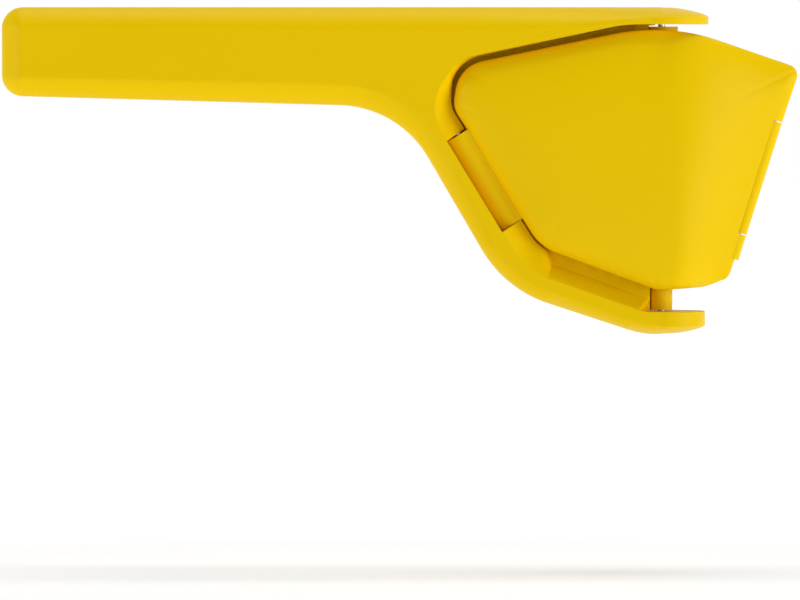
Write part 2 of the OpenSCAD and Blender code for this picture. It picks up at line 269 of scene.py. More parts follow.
class SqueezerStage(bpy.types.PropertyGroup):
    distance: FloatProperty(
        name="Camera distance",
        description="From the camera to the squeezer's parting plane",
        default=3.2,
        unit="LENGTH",
    )
    eye_level: FloatProperty(
        name="Eye level",
        description="Height of the camera above the squeezer's foot",
        default=0.1,
        unit="LENGTH",
    )
    aim_level: FloatProperty(
        name="Aim level",
        description="Height that the camera looks at",
        default=0.0106,
        unit="LENGTH",
    )
    field: FloatProperty(
        name="Field width",
        description="Width of the picture at the squeezer",
        default=0.252,
        unit="LENGTH",
    )
    floor_drop: FloatProperty(
        name="Floor drop",
        description="How far the floor lies below the squeezer's foot",
        default=0.075,
        unit="LENGTH",
    )


# ---------------------------------------------------------------- outlines


def flat(point):
    """The place of a point or corner, as a vector."""
    return Vector((point[0], point[1]))


def rounded(before, corner, after):
    """Points of a rounded corner: (place, outward direction) from one tangent to the other."""
    b = flat(corner)
    u = (flat(before) - b).normalized()
    v = (flat(after) - b).normalized()
    half = math.acos(max(-1.0, min(1.0, u.dot(v)))) / 2
    radius = corner[2]
    centre = b + (u + v).normalized() * radius / math.sin(half)
    side = -1 if u.x * v.y - u.y * v.x > 0 else 1
    start = b + u * radius / math.tan(half) - centre
    sweep = (math.pi - 2 * half) * side
    points = []
    for i in range(ARC_POINTS + 1):
        arm = Matrix.Rotation(sweep * i / ARC_POINTS, 2) @ start
        points.append((centre + arm, arm * side / radius))
    return points


def open_path(corners):
    """The points of an open outline with sharp ends, as (place, outward direction, what else its
    corner holds)."""
    last = len(corners) - 1
    points = []
    for i, corner in enumerate(corners):
        if i in (0, last) or corner[2] == 0:
            up = 1 if i < len(corners) / 2 else -1
            points.append((flat(corner), Vector((0, up)), corner[3:]))
            continue
        for place, out in rounded(corners[i - 1], corner, corners[i + 1]):
            points.append((place, out, corner[3:]))
    return points


def closed_loop(corners):
    """The points of a closed clockwise outline."""
    count = len(corners)
    points = []
    for i, corner in enumerate(corners):
        bend = rounded(corners[i - 1], corner, corners[(i + 1) % count])
        points += [place for place, out in bend]
    return points


def grow(corners, distance):
    """The corners of a convex clockwise outline with each side moved out."""
    count = len(corners)
    grown = []
    for i, corner in enumerate(corners):
        u = (flat(corner) - flat(corners[i - 1])).normalized()
        v = (flat(corners[(i + 1) % count]) - flat(corner)).normalized()
        k = distance / (1 + u.dot(v))
        place = flat(corner) + k * Vector((-u.y - v.y, u.x + v.x))
        grown.append((place.x, place.y, max(corner[2] + distance, 1.0)))
    return grown


def line_z(a, b, x):
    """The height at x of the line through two points."""
    return a[1] + (b[1] - a[1]) * (x - a[0]) / (b[0] - a[0])


def smooth_step(t):
    """From 0 to 1 with a soft start and end."""
    t = max(0.0, min(1.0, t))
    return t * t * (3 - 2 * t)


# ---------------------------------------------------------------- modelling


def only(piece):
    """Selects one object and makes it active."""
    bpy.ops.object.select_all(action="DESELECT")
    piece.select_set(True)
    bpy.context.view_layer.objects.active = piece


def edit(piece):
    """Opens a piece in edit mode and returns its mesh."""
    only(piece)
    bpy.ops.object.mode_set(mode="EDIT")
    return bmesh.from_edit_mesh(piece.data)


def object_mode():
    """Goes back to object mode."""
    bpy.ops.object.mode_set(mode="OBJECT")


def loft(name, rings):
    """A closed shell through rings of equal length: a flat face on the first ring is extruded
    from ring to ring."""
    bpy.ops.object.select_all(action="DESELECT")
    bpy.ops.mesh.primitive_circle_add(vertices=len(rings[0]), radius=1, fill_type="NGON")
    piece = bpy.context.object
    piece.name = name
    mesh = edit(piece)
    mesh.verts.ensure_lookup_table()
    for vert, place in zip(mesh.verts, rings[0]):
        vert.co = place
    for previous, ring in zip(rings, rings[1:]):
        bpy.ops.mesh.extrude_region_move()
        mesh = bmesh.from_edit_mesh(piece.data)
        moved = {key(v.co): v for v in mesh.verts if v.select}
        for before, after in zip(previous, ring):
            moved[key(before)].co = after
    bpy.ops.mesh.select_all(action="SELECT")
    bpy.ops.mesh.normals_make_consistent(inside=False)
    object_mode()
    return piece


def key(place):
    """A place rounded off, to find the same point again."""
    return tuple(round(value, 3) for value in place)


def cylinder(name, radius, low, high, sides=96):
    """A round bar on the Z axis from low to high."""
    bpy.ops.object.select_all(action="DESELECT")
    bpy.ops.mesh.primitive_cylinder_add(
        vertices=sides, radius=radius, depth=high - low, location=(0, 0, (low + high) / 2)
    )
    piece = bpy.context.object
    piece.name = name
    bpy.ops.object.transform_apply(location=True, rotation=True, scale=True)
    return piece


def block(name, low, high):
    """A block between two corners."""
    bpy.ops.object.select_all(action="DESELECT")
    low, high = Vector(low), Vector(high)
    bpy.ops.mesh.primitive_cube_add(size=1, location=(low + high) / 2, scale=high - low)
    piece = bpy.context.object
    piece.name = name
    bpy.ops.object.transform_apply(location=True, rotation=True, scale=True)
    return piece


def on_line(piece, tilt, turn):
    """Stands a piece that was drawn up the Z axis on a hinge line."""
    only(piece)
    lean = Matrix.Rotation(math.radians(turn), 4, "Z") @ Matrix.Rotation(math.radians(tilt), 4, "Y")
    piece.matrix_world = Matrix.Translation((0, 0, APEX_Z)) @ lean
    bpy.ops.object.transform_apply(location=True, rotation=True, scale=True)
    return piece


def on_left_line(piece):
    return on_line(piece, LEFT_TILT, 180 + LEFT_TURN)


def on_right_line(piece):
    return on_line(piece, RIGHT_TILT, 0)


def mirrored(piece):
    """Mirrors a piece to the back of the parting plane."""
    only(piece)
    piece.scale = (1, -1, 1)
    bpy.ops.object.transform_apply(location=True, rotation=True, scale=True)
    bpy.ops.object.mode_set(mode="EDIT")
    bpy.ops.mesh.select_all(action="SELECT")
    bpy.ops.mesh.normals_make_consistent(inside=False)
    object_mode()
    return piece


def combine(piece, tools, operation):
    """Joins tools to a piece or cuts them out of it, one after another."""
    for tool in tools:
        only(piece)
        bpy.ops.object.modifier_add(type="BOOLEAN")
        modifier = piece.modifiers[-1]
        modifier.operation = operation
        modifier.solver = "MANIFOLD"
        modifier.object = tool
        bpy.ops.object.modifier_apply(modifier=modifier.name)
        only(tool)
        bpy.ops.object.delete()
    return piece


def add(piece, *tools):
    return combine(piece, tools, "UNION")


def cut(piece, *tools):
    return combine(piece, tools, "DIFFERENCE")


def keep(piece, *tools):
    return combine(piece, tools, "INTERSECT")


def slab(name, corners, front, back):
    """An outline of (x, z) points made solid from one depth to another."""
    rings = [[Vector((c[0], y, c[1])) for c in corners] for y in (front, back)]
    return loft(name, rings)


# ---------------------------------------------------------------- handles


def frame_edge(grip_edge):
    """The frame's outer corners, from the upper arm round the grip to the lower arm, as (x, z,
    corner radius, width of the rim's rounding, depth of the rim's rounding)."""
    return [
        (0, HEAD_TOP, 0, 3, 12),
        (-14, HEAD_TOP, 0, 4.6, 11),
        (-28, HEAD_TOP, 0, 6.2, 9),
        (-60, HEAD_TOP, 0, 6.8, grip_edge),
        (GRIP_END, HEAD_TOP, GRIP_CORNER, grip_edge, grip_edge),
        (GRIP_END, HEAD_TOP - GRIP_HEIGHT, GRIP_CORNER, grip_edge, grip_edge),
        (NECK_X, HEAD_TOP - 31.3, 33, 7, grip_edge),
        (-49.4, 14.3, 38, 4.5, 6),
        (-6.4, 0, 30, 3.2, 9),
        (0, 0, 0, 2.6, 12),
    ]


def front_edge():
    """The frame's inner corners on its front face, as (x, z, corner radius)."""
    p = PLATE_CORNERS
    return [
        (0, LOWER_ARM, 0),
        (-5.8, LOWER_ARM, 12),
        (p[6][0] - 4.2, p[6][1] - 7.5, 21),
        (p[0][0] - 8.4, p[0][1] + 0.3, 14),
        (p[1][0] - 0.1, p[1][1] + 2.3, 13),
        (ARM_BEND_X, ARM_UNDER, 40),
        (0, ARM_UNDER, 0),
    ]


def ledge_edge():
    """The foot of the ledge, just outside the plate's edge, as (x, z, corner radius, depth of the
    foot, depth of the web behind it). The ledge is high beside the hinge and sinks to the web
    along the lower arm."""
    t = grow(PLATE_CORNERS, LEDGE_GAP)
    p = PLATE_CORNERS
    low = WEB_HALF + LOW_LEDGE
    return [
        (0, line_z(t[5], t[4], 0), 0, low, WEB_HALF),
        (t[5][0], t[5][1], 4, low, WEB_HALF),
        (t[6][0], t[6][1], 14, LEDGE_HALF, WEB_HALF),
        (t[0][0], t[0][1], 8, LEDGE_HALF, WEB_HALF),
        (p[1][0] - 2.2, p[1][1] + 1.3, 11, LEDGE_HALF, GAP_WEB_HALF),
        (ARM_BEND_X, ARM_UNDER, 40, LEDGE_HALF, GAP_WEB_HALF),
        (0, ARM_UNDER, 0, LEDGE_HALF, WEB_HALF),
    ]


def web_edge():
    """The inner edge of the web, well behind the plate."""
    w = grow(PLATE_CORNERS, -WEB_REACH)
    top = line_z(w[1], w[2], ARM_BEND_X)
    return [
        (0, line_z(w[5], w[4], 0), 0),
        (w[5][0], w[5][1], 3),
        (w[6][0], w[6][1], 11),
        (w[0][0], w[0][1], 3),
        (w[1][0], w[1][1], 2),
        (ARM_BEND_X, top, 20),
        (0, top, 0),
    ]


# The way of the rings across the frame's inner side, as (stage, share of the way along, share of
# the way down). The front edge is rounded, the ledge slopes to its foot, a short wall drops to the
# web, and the web ends.
INNER_STEPS = [
    ("front", 0.0, 0.0),
    ("ledge", 0.010, 0.003),
    ("ledge", 0.024, 0.012),
    ("ledge", 0.045, 0.030),
    ("ledge", 0.070, 0.060),
    ("ledge", 0.25, 0.26),
    ("ledge", 0.45, 0.47),
    ("ledge", 0.65, 0.68),
    ("ledge", 0.85, 0.87),
    ("ledge", 0.95, 0.96),
    ("ledge", 0.985, 0.985),
    ("ledge", 1.0, 1.03),
    ("wall", 0.05, 1.0),
    ("web", 0.5, 0.0),
    ("web", 0.96, 0.0),
    ("web", 0.99, 0.03),
    ("web", 1.0, 0.10),
    ("web", 1.0, 1.0),
]


def inner_place(step, places, depths, half_thickness):
    """Where one point of the frame's inner side lies at a step of the rings."""
    front, ledge, web = places
    foot, behind = depths
    stage, along, down = step
    if stage == "web":
        place = ledge.lerp(web, along)
        depth = behind + (PARTING / 2 - behind) * down
    elif stage == "wall":
        place = ledge.lerp(web, along)
        depth = foot + (behind - foot) * down
    else:
        steep = smooth_step((LEDGE_HALF - foot) / (LEDGE_HALF - WEB_HALF))
        place = front.lerp(ledge, along * (1 - steep) + STEEP_SHARE * along * steep)
        depth = half_thickness + (foot - half_thickness) * down
    return Vector((place.x, -depth, place.y))


def ledge_depths():
    """The depths of the ledge's foot and of the web, for each point of the inner path. They change
    smoothly from one corner to the next."""
    corners = ledge_edge()
    last = len(corners) - 1
    depths = []
    for i, corner in enumerate(corners):
        if i in (0, last):
            depths.append(corner[3:])
            continue
        before, after = corners[i - 1], corners[i + 1]
        for step in range(ARC_POINTS + 1):
            t = 2 * step / ARC_POINTS - 1
            other = before if t < 0 else after
            share = 0.5 * t * t
            depths.append(tuple(a + (b - a) * share for a, b in zip(corner[3:], other[3:])))
    return depths


def rim_fall(turn):
    """How far the frame's rim has fallen back at a turn from the face, as a share of its depth. It
    leans like a bevel first and is round at its outer end."""
    return RIM_LEAN * math.sin(turn) ** RIM_BEND + (1 - RIM_LEAN) * (1 - math.cos(turn))


def round_brim(radius, depth, height):
    """The frame's rim carried round an arm's end, from its outer edge inwards."""
    turns = [math.radians(90 * k / BRIM_STEPS) for k in range(BRIM_STEPS + 1)]
    return [(radius - depth * rim_fall(turn), height * math.sin(turn)) for turn in turns]


def frame_shell(half_thickness, grip_edge):
    """The solid front half of the frame and grip, up to the pivot axis."""
    outer = open_path(frame_edge(grip_edge))
    inner = [open_path(edge) for edge in (front_edge(), ledge_edge(), web_edge())]
    rings = []
    last = len(INNER_STEPS) - 1
    for k, step in enumerate(INNER_STEPS):
        turn = math.radians(min(k, EDGE_RINGS) * 90 / EDGE_RINGS)
        past = max(0, k - EDGE_RINGS) / (last - EDGE_RINGS)
        ring = []
        for place, out, (in_plane, depth) in outer:
            y = half_thickness - depth * rim_fall(turn)
            y += (PARTING / 2 - y) * past
            shift = out * in_plane * (1 - math.sin(turn))
            ring.append(Vector((place.x - shift.x, -y, place.y - shift.y)))
        for places, depths in zip(zip(*inner), ledge_depths()):
            ring.append(inner_place(step, [point[0] for point in places], depths, half_thickness))
        rings.append(ring)
    return loft("frame", rings)


def arm_space(half_thickness):
    """What is cut away between the two arms, from the web's end to the pivot axis."""
    deep = half_thickness + 1
    slit_from = ARM_UNDER - SLIT
    space = block("space", (WEB_END, -deep, LOWER_ARM), (BIG, 1, slit_from))
    return add(space, block("slit", (TOP_WEB_END, -deep, slit_from - 0.1), (BIG, 1, ARM_UNDER)))


def turned(name, profile, sides=96):
    """A solid turned about the Z axis from a profile of (radius, height) points."""
    bpy.ops.object.select_all(action="DESELECT")
    bpy.ops.mesh.primitive_circle_add(vertices=len(profile), radius=1)
    piece = bpy.context.object
    piece.name = name
    mesh = edit(piece)
    mesh.verts.ensure_lookup_table()
    for vert, (radius, height) in zip(mesh.verts, profile):
        vert.co = (radius, 0, height)
    bpy.ops.mesh.select_all(action="SELECT")
    bpy.ops.mesh.spin(steps=sides, angle=math.tau, center=(0, 0, 0), axis=(0, 0, 1))
    bpy.ops.mesh.select_all(action="SELECT")
    bpy.ops.mesh.remove_doubles(threshold=0.001)
    bpy.ops.mesh.select_all(action="SELECT")
    bpy.ops.mesh.dissolve_degenerate(threshold=0.0005)
    bpy.ops.mesh.select_all(action="SELECT")
    bpy.ops.mesh.normals_make_consistent(inside=False)
    object_mode()
    return piece


def arc(centre, radius_x, radius_z, start, end, steps=10):
    """Points of an elliptic arc in a turned profile, angles in degrees."""
    points = []
    for i in range(steps + 1):
        angle = math.radians(start + (end - start) * i / steps)
        x = centre[0] + radius_x * math.cos(angle)
        points.append((x, centre[1] + radius_z * math.sin(angle)))
    return points


def upper_arm_end():
    """The round end of the upper arm: its top edge falls away in a long ellipse."""
    brim = round_brim(UPPER_END_R, UPPER_END_R - 2, BRIM_DROP)
    brim = [(r, HEAD_TOP - BRIM_DROP - 0.1 + h) for r, h in brim]
    lip = arc((UPPER_END_R - LIP, ARM_UNDER + LIP), LIP, LIP, -90, 0, 4)
    return turned("upper_arm_end", [(0, ARM_UNDER)] + lip + brim + [(0, HEAD_TOP - 0.1)])


def lower_arm_end():
    """The round end of the lower arm: its lower edge falls away less."""
    lip = arc((LOWER_END_R - LIP, LOWER_ARM - LIP), LIP, LIP, 0, 90, 4)
    brim = reversed(round_brim(LOWER_END_R, LOWER_END_R - 3, LOWER_BRIM_DROP))
    brim = [(r, LOWER_BRIM_DROP + 0.1 - h) for r, h in brim]
    return turned("lower_arm_end", [(0, 0)] + brim + lip + [(0, LOWER_ARM)])


def grip_core(inset, skin, half_thickness):
    """A block inside the grip, from a skin behind its face to the parting plane."""
    far = GRIP_END + inset
    top = HEAD_TOP - inset
    low = HEAD_TOP - GRIP_HEIGHT + inset
    corners = [
        (far, top),
        (HOLLOW_RIGHT - 6, top),
        (HOLLOW_RIGHT + 4, line_z((far, low), (NECK_X, low - 3.3), HOLLOW_RIGHT)),
        (far, low),
    ]
    return slab("core", corners, -half_thickness + skin, 1)


def grip_hollow(half_thickness, grip_edge):
    """The hollow inside a grip half, with the cross ribs left out of it."""
    outer = grip_core(WALL, grip_edge * 0.8, half_thickness)
    hollow = add(outer, grip_core(2 * WALL, WALL, half_thickness))
    x = GRIP_END + RIB_PITCH
    while x < LAST_RIB:
        cut(hollow, block("rib", (x, -BIG, 0), (x + RIB, BIG, BIG)))
        x += RIB_PITCH
    return hollow


def left_bar(name, radius, low, high):
    return on_left_line(cylinder(name, radius, low, high))


def right_bar(name, radius, low, high):
    return on_right_line(cylinder(name, radius, low, high))


def left_notch(half_thickness):
    """The notch for a plate's left barrel, open to the front."""
    radius = LEFT_BARREL_R + KNUCKLE_GAP
    length = LEFT_BARREL_L + 2 * KNUCKLE_GAP
    low = LEFT_MID + NOTCH_SHIFT - length / 2
    high = low + length
    deep = 2 * half_thickness
    room = cylinder("notch", radius, low, high)
    add(room, block("slot", (-6, 0, low), (radius, deep, high)))
    add(room, block("throat", (-12, -1, low), (0, deep, high)))
    return on_left_line(room)


def handle_shell(half_thickness, grip_edge):
    """A front handle's moulding without its arm ends, hollow and notch."""
    shell = frame_shell(half_thickness, grip_edge)
    cut(shell, arm_space(half_thickness))
    return shell


def rear_neck(radius, depth, low, height):
    """A knuckle of the rear handle on the pivot axis, with its neck."""
    knuckle = cylinder("knuckle", radius, low, low + height)
    neck = block("neck", (WEB_END - 4, PARTING / 2, low), (0, depth, low + height))
    return add(knuckle, neck)


def make_front_handle(sizes):
    half = sizes.half_thickness / MM
    edge = sizes.grip_edge / MM
    handle = handle_shell(half, edge)
    add(handle, upper_arm_end(), lower_arm_end())
    cut(
        handle,
        grip_hollow(half, edge),
        left_notch(half),
        cylinder("room", UPPER_KNUCKLE_R + RUNNING, KNUCKLE_LOW - RUNNING, ARM_UNDER),
        cylinder("room", POST_R + RUNNING, LOWER_ARM, POST_TOP + RUNNING),
    )
    return handle


def make_rear_handle(sizes):
    half = sizes.half_thickness / MM
    edge = sizes.grip_edge / MM
    handle = handle_shell(half, edge)
    cut(
        handle,
        grip_hollow(half, edge),
        left_notch(half),
        cylinder("room", ARM_CUT_R, KNUCKLE_TOP, BIG),
        cylinder("room", ARM_CUT_R, -1, POST_BOTTOM),
    )
    mirrored(handle)
    add(
        handle,
        rear_neck(UPPER_KNUCKLE_R, WEB_HALF, KNUCKLE_LOW, UPPER_KNUCKLE_H),
        rear_neck(POST_R, POST_R - 0.1, POST_BOTTOM, POST_H),
    )
    cut(handle, cylinder("bore", BORE_R, 1.2, POST_TOP - 2))
    cut(handle, cylinder("bore", BORE_R, KNUCKLE_LOW + 1, HEAD_TOP - 1.8))
    return handle


# ---------------------------------------------------------------- press plates


def fallen(place):
    """How far a plate has fallen away towards the joint of the two plates, from 0 to 1."""
    edge_x = (place.y - APEX_Z) * math.tan(math.radians(RIGHT_TILT))
    return smooth_step((place.x - TAPER_FROM) / (edge_x - TAPER_FROM))


def from_edge(place):
    """A smooth measure of how far a place lies inside a plate's sides."""
    total = 0.0
    for i, corner in enumerate(PLATE_CORNERS):
        a = flat(corner)
        u = (flat(PLATE_CORNERS[(i + 1) % len(PLATE_CORNERS)]) - a).normalized()
        inside = u.y * (place.x - a.x) - u.x * (place.y - a.y)
        total += max(inside, 0.01) ** -CROWN_EVENNESS
    return total ** (-1 / CROWN_EVENNESS)


def close_set(loop, spacing):
    """A closed loop with further points on its long straights, so that a dome over it is smooth."""
    points = []
    for i, start in enumerate(loop):
        run = loop[(i + 1) % len(loop)] - start
        pieces = max(1, round(run.length / spacing))
        points += [start + run * (k / pieces) for k in range(pieces)]
    return points


def plate_shell(side, edge, crown):
    """The solid plate: its pressing side first, then its side wall and over the crown."""
    outline = close_set(closed_loop(PLATE_CORNERS), PLATE_SPACING)
    rise = crown - side - edge
    full = from_edge(CROWN_CENTRE)
    rings = [[Vector((place.x, -PLATE_GAP / 2, place.y)) for place in outline]]
    for k in range(CROWN_RINGS):
        along = (k / CROWN_RINGS) ** 2
        ring = []
        for place in outline:
            r = place.lerp(CROWN_CENTRE, along)
            inside = from_edge(r) - from_edge(place) * (1 - along) ** 2
            across = min(max(inside, 0.0) / EDGE_WIDTH, 1.0)
            middle = min(max(inside, 0.0) / full, 1.0)
            fall = fallen(r)
            depth = side + (THIN_SIDE - side) * fall
            depth += edge * (1 + (THIN_EDGE - 1) * fall) * math.sqrt(1 - (1 - across) ** 2)
            depth += rise * (1 - (1 - middle) ** 2)
            ring.append(Vector((r.x, -depth, r.y)))
        rings.append(ring)
    return loft("plate", rings)


def plate_prism(distance, front, back):
    """The plate's outline, moved out by a distance, made solid between two depths."""
    return slab("prism", closed_loop(grow(PLATE_CORNERS, distance)), front, back)


def plate_cavity(side):
    """The hollow of a plate, deeper in its middle than along its sides."""
    cavity = plate_prism(-PLATE_WALL - CAVITY_STEP, -side - CAVITY_DEPTH, -PRESS_PLANE + 1)
    add(cavity, plate_prism(-PLATE_WALL, -side - 0.4, -PRESS_PLANE + 1.1))
    return keep(cavity, block("room", (-BIG, -20, 0), (CAVITY_RIGHT, 0, BIG)))


def plate_fins(side):
    """Upright fins that fan out from the hinge lines' meeting point."""
    fins = []
    deep = -side - FIN_DEPTH
    for angle in range(FIN_FIRST, FIN_LAST + 1, FIN_STEP):
        fin = block("fin", (-FIN / 2, deep, 0), (FIN / 2, -PRESS_PLANE, FIN_REACH))
        on_line(fin, angle, 0)
        keep(fin, plate_prism(-PLATE_WALL - 2, deep, -PRESS_PLANE))
        keep(fin, block("room", (-BIG, -20, 0), (CAVITY_RIGHT + 0.6, 0, BIG)))
        fins.append(fin)
    return fins


def pressing_side():
    """What is cut off a plate's inner side: a flat floor that slopes to the joint at the right."""
    corners = [
        (-80, 1),
        (-80, -PRESS_PLANE),
        (10, -PRESS_PLANE),
        (24, -PLATE_GAP / 2),
        (24, 1),
    ]
    rings = [[Vector((x, y, z)) for x, y in corners] for z in (-1, 110)]
    return loft("pressing_side", rings)


def left_barrel():
    """The knuckle on a plate's left edge, which runs up into the plate in a soft valley."""
    low = LEFT_MID + BARREL_SHIFT - LEFT_BARREL_L / 2
    high = low + LEFT_BARREL_L
    barrel = cylinder("barrel", LEFT_BARREL_R, low, high)
    section = [
        (0.0, 0.2),
        (0.0, LEFT_BARREL_R),
        (-VALLEY_FROM, LEFT_BARREL_R - VALLEY_SINK),
        (-ROOT_TO, LEFT_BARREL_R - VALLEY_SINK),
        (-ROOT_TO, 0.2),
    ]
    rings = [[Vector((x, y, z)) for x, y in section] for z in (low, high)]
    add(barrel, loft("root", rings))
    return on_left_line(barrel)


def plate_body(sizes):
    side = sizes.plate_side / MM
    body = plate_shell(side, sizes.plate_edge / MM, sizes.plate_crown / MM)
    cut(body, pressing_side(), plate_cavity(side))
    add(body, *plate_fins(side))
    add(body, left_barrel())
    low = (-DRAIN / 2, -PRESS_PLANE - DRAIN_DEPTH, DRAIN_FROM)
    high = (DRAIN / 2, -PRESS_PLANE + 0.5, DRAIN_TO)
    for angle in range(FIN_FIRST + FIN_STEP // 2, FIN_LAST + 1, FIN_STEP):
        cut(body, on_line(block("drain", low, high), angle, 0))
    bore_half = LEFT_BARREL_L / 2 + PIN_GRIP
    cut(body, left_bar("bore", BORE_R, LEFT_MID - bore_half, LEFT_MID + bore_half))
    return body


def right_room(low, high):
    """Room on a plate for the other plate's barrels."""
    radius = RIGHT_BARREL_R + KNUCKLE_GAP
    room = cylinder("room", radius, low, high)
    add(room, block("way", (0, -radius - 5, low), (20, radius + 5, high)))
    return on_right_line(room)


def make_front_plate(sizes):
    low = RIGHT_MID - RIGHT_BARREL_L / 2
    high = RIGHT_MID + RIGHT_BARREL_L / 2
    plate = plate_body(sizes)
    cut(plate, right_room(low - KNUCKLE_GAP, high + KNUCKLE_GAP))
    add(plate, right_bar("barrel", RIGHT_BARREL_R, RIGHT_LOW, low - KNUCKLE_GAP))
    add(plate, right_bar("barrel", RIGHT_BARREL_R, high + KNUCKLE_GAP, RIGHT_HIGH))
    return plate


def make_rear_plate(sizes):
    low = RIGHT_MID - RIGHT_BARREL_L / 2
    high = RIGHT_MID + RIGHT_BARREL_L / 2
    plate = mirrored(plate_body(sizes))
    cut(plate, right_room(-10, low), right_room(high, BIG))
    add(plate, right_bar("barrel", RIGHT_BARREL_R, low, high))
    cut(plate, right_bar("bore", PIN_R + JOINT_PLAY, low - 1, high + 1))
    return plate


# ---------------------------------------------------------------- materials


def moulded_grain():
    """A node group: the faint mottle and texture of a moulded satin surface."""
    group = bpy.data.node_groups.new("moulded grain", "ShaderNodeTree")
    face = group.interface
    face.new_socket("Colour", in_out="INPUT", socket_type="NodeSocketColor")
    face.new_socket("Roughness", in_out="INPUT", socket_type="NodeSocketFloat")
    face.new_socket("Colour", in_out="OUTPUT", socket_type="NodeSocketColor")
    face.new_socket("Roughness", in_out="OUTPUT", socket_type="NodeSocketFloat")
    face.new_socket("Height", in_out="OUTPUT", socket_type="NodeSocketFloat")
    nodes, links = group.nodes, group.links
    start = nodes.new("NodeGroupInput")
    end = nodes.new("NodeGroupOutput")
    place = nodes.new("ShaderNodeTexCoord")
    flow = nodes.new("ShaderNodeTexNoise")
    flow.inputs["Scale"].default_value = 38.0
    flow.inputs["Detail"].default_value = 3.0
    fine = nodes.new("ShaderNodeTexNoise")
    fine.inputs["Scale"].default_value = 1500.0
    fine.inputs["Detail"].default_value = 2.0
    for noise in (flow, fine):
        links.new(place.outputs["Object"], noise.inputs["Vector"])
    tone = nodes.new("ShaderNodeMapRange")
    tone.inputs["To Min"].default_value = MOTTLE
    tone.inputs["To Max"].default_value = 1.0
    links.new(flow.outputs["Fac"], tone.inputs["Value"])
    shade = nodes.new("ShaderNodeVectorMath")
    shade.operation = "SCALE"
    links.new(start.outputs["Colour"], shade.inputs[0])
    links.new(tone.outputs["Result"], shade.inputs["Scale"])
    gloss = nodes.new("ShaderNodeMath")
    gloss.operation = "MULTIPLY_ADD"
    links.new(flow.outputs["Fac"], gloss.inputs[0])
    gloss.inputs[1].default_value = MOTTLE_ROUGHNESS
    links.new(start.outputs["Roughness"], gloss.inputs[2])
    links.new(shade.outputs["Vector"], end.inputs["Colour"])
    links.new(gloss.outputs["Value"], end.inputs["Roughness"])
    links.new(fine.outputs["Fac"], end.inputs["Height"])
    return group


def plastic(name, grain, colour, roughness):
    """Satin moulded nylon."""
    material = bpy.data.materials.new(name)
    material.use_nodes = True
    nodes, links = material.node_tree.nodes, material.node_tree.links
    shader = nodes["Principled BSDF"]
    look = nodes.new("ShaderNodeGroup")
    look.node_tree = grain
    look.inputs["Colour"].default_value = (*colour, 1.0)
    look.inputs["Roughness"].default_value = roughness
    bump = nodes.new("ShaderNodeBump")
    bump.inputs["Strength"].default_value = GRAIN_STRENGTH
    bump.inputs["Distance"].default_value = GRAIN_DEPTH
    links.new(look.outputs["Colour"], shader.inputs["Base Color"])
    links.new(look.outputs["Roughness"], shader.inputs["Roughness"])
    links.new(look.outputs["Height"], bump.inputs["Height"])
    links.new(bump.outputs["Normal"], shader.inputs["Normal"])
    shader.inputs["IOR"].default_value = PLASTIC_IOR
    shader.inputs["Specular IOR Level"].default_value = PLASTIC_SPECULAR
    return material


def drawn_steel(colour):
    """Steel wire with fine marks along its length."""
    material = bpy.data.materials.new("drawn_steel")
    material.use_nodes = True
    nodes, links = material.node_tree.nodes, material.node_tree.links
    shader = nodes["Principled BSDF"]
    shader.inputs["Base Color"].default_value = (*colour, 1.0)
    shader.inputs["Metallic"].default_value = 1.0
    place = nodes.new("ShaderNodeTexCoord")
    stretch = nodes.new("ShaderNodeMapping")
    stretch.inputs["Scale"].default_value = (1.0, 1.0, 0.05)
    marks = nodes.new("ShaderNodeTexNoise")
    marks.inputs["Scale"].default_value = 6000.0
    rough = nodes.new("ShaderNodeMapRange")
    rough.inputs["To Min"].default_value = STEEL_ROUGHNESS[0]
    rough.inputs["To Max"].default_value = STEEL_ROUGHNESS[1]
    links.new(place.outputs["Object"], stretch.inputs["Vector"])
    links.new(stretch.outputs["Vector"], marks.inputs["Vector"])
    links.new(marks.outputs["Fac"], rough.inputs["Value"])
    links.new(rough.outputs["Result"], shader.inputs["Roughness"])
    return material


def yellow_plastic(slot):
    """The plastic of a record slot, made the first time it is asked for."""
    name = slot + "_satin"
    if name in bpy.data.materials:
        return bpy.data.materials[name]
    if "moulded grain" not in bpy.data.node_groups:
        moulded_grain()
    finish = bpy.context.scene.squeezer_finish
    grain = bpy.data.node_groups["moulded grain"]
    return plastic(name, grain, finish.yellow, finish.plastic_roughness)


# ---------------------------------------------------------------- finishing


def set_down(piece, name, node, body, slot):
    """Puts a finished piece in its place, in metres, with its finish, on its body."""
    piece.name = name
    piece.data.name = name
    only(piece)
    piece.matrix_world = Matrix.Translation((PIVOT_X * MM, 0, 0)) @ Matrix.Scale(MM, 4)
    bpy.ops.object.transform_apply(location=True, rotation=True, scale=True)
    bpy.ops.object.shade_smooth_by_angle(angle=math.radians(SHARP_ABOVE))
    bpy.ops.object.modifier_add(type="WEIGHTED_NORMAL")
    modifier = piece.modifiers[-1]
    modifier.keep_sharp = True
    bpy.ops.object.modifier_apply(modifier=modifier.name)
    piece.data.materials.clear()
    piece.data.materials.append(yellow_plastic(slot))
    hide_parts(node)
    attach(piece, body)


class SQUEEZER_OT_handles(bpy.types.Operator):
    """Models the two moulded handles"""

    bl_idname = "squeezer.handles"
    bl_label = "Handles"

    def execute(self, context):
        sizes = context.scene.squeezer_sizes
        front = make_front_handle(sizes)
        set_down(front, "front_moulding", "front_handle", "front_frame", "handle_plastic")
        rear = make_rear_handle(sizes)
        set_down(rear, "rear_moulding", "rear_handle", "rear_frame", "handle_plastic")
        return {"FINISHED"}


